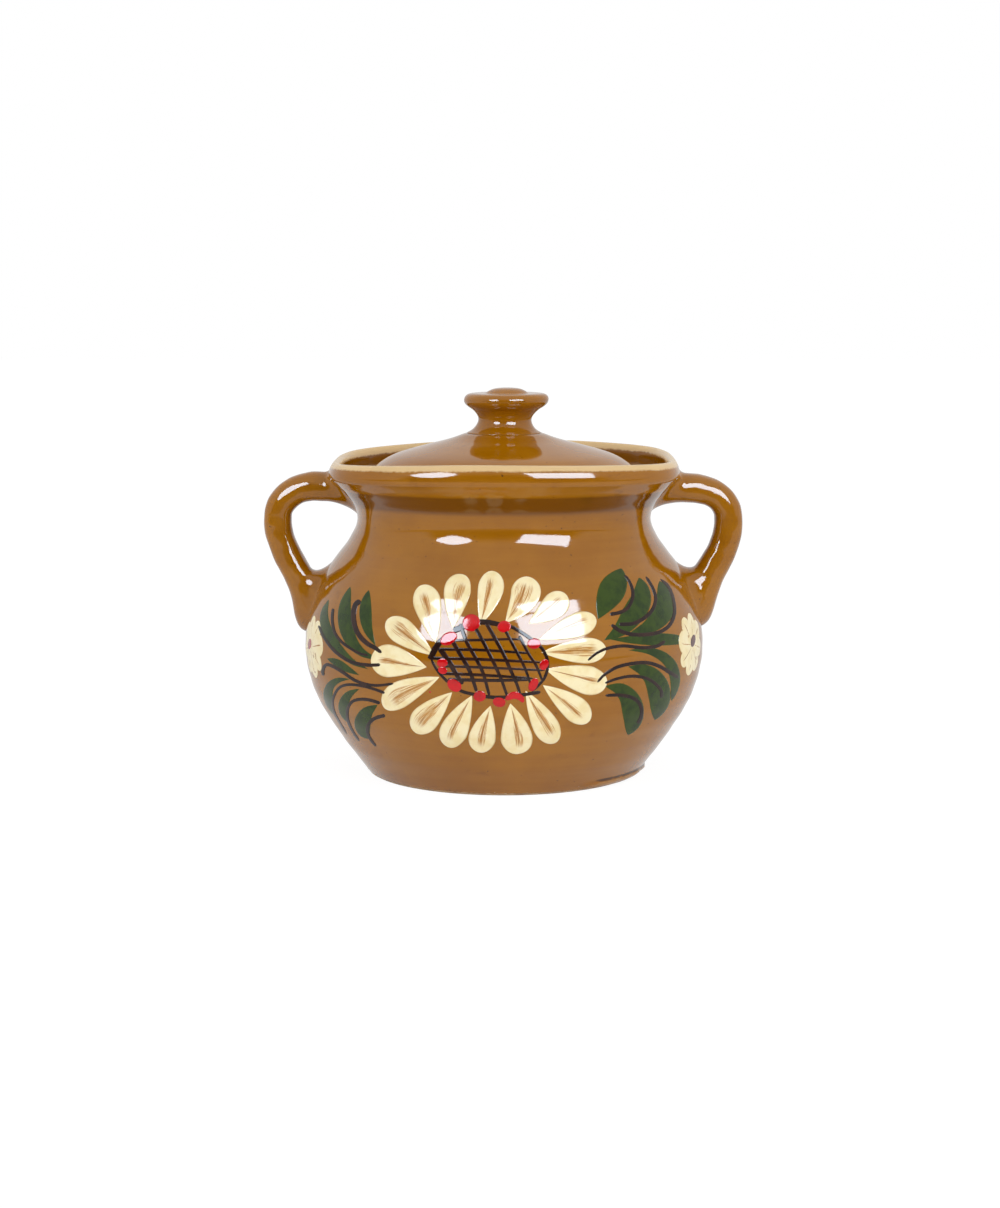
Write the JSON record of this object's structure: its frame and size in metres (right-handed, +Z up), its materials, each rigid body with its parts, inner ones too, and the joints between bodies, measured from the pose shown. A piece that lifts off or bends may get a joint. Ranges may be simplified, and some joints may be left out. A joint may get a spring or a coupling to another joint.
{
  "type": "lidded earthenware stewpot",
  "caption": "Glazed earthenware stewpot with a round belly, a squared flaring collar, a domed lid with a turned knob set down inside it, and bowed side handles.",
  "frame": {"origin": "middle of the flat base, on the surface it stands on", "axes": "+Z up, +X towards the right-hand handle, -Y towards the painted front"},
  "size_m": [0.27, 0.2252, 0.2162],
  "materials": {
    "amber_glaze": "gloss",
    "lid_glaze": "gloss",
    "cream_slip": "gloss",
    "green_slip": "gloss",
    "dark_slip": "gloss",
    "red_slip": "gloss",
    "raw_clay": "matt"
  },
  "bodies": {
    "pot": {"pot_body": "amber_glaze", "left_handle": "amber_glaze", "right_handle": "amber_glaze"},
    "lid": {"lid_cover": "lid_glaze", "lid_knob": "lid_glaze"}
  },
  "joints": [
    {"name": "lid_lift", "type": "slide", "parent": "pot", "child": "lid", "axis": [0, 0, 1], "range_m": [0, 0.15]}
  ]
}
